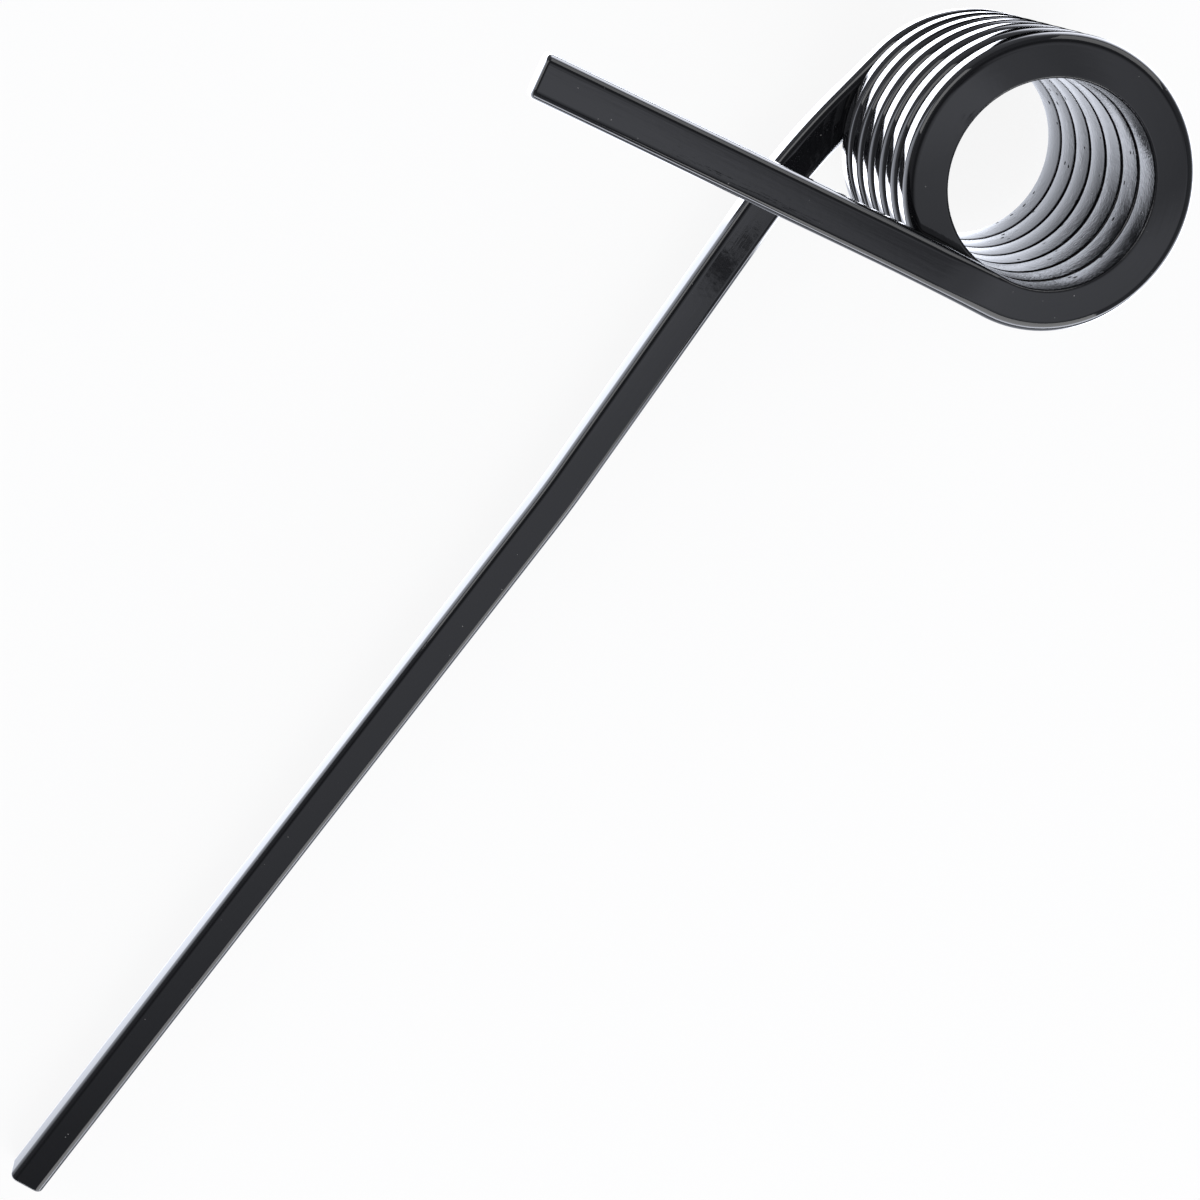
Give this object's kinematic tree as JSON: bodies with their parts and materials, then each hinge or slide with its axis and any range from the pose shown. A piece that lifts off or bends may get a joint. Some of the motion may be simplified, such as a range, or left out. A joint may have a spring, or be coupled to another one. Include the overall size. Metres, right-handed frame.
{
  "type": "torsion spring",
  "caption": "Left-hand torsion spring of rounded square bar in a glossy black finish: a close coil with one long arm and one short arm.",
  "frame": {"origin": "on the coil's axis, halfway along the coil", "axes": "+Z along the coil's axis from the long arm's end of the coil to the short arm's; +X along the outer part of the long arm, away from the coil"},
  "size_m": [0.4128, 0.1392, 0.0832],
  "materials": {
    "black_coating": "glossy black coating on spring steel"
  },
  "bodies": {
    "root": {"torsion_spring": "black_coating"}
  },
  "joints": []
}
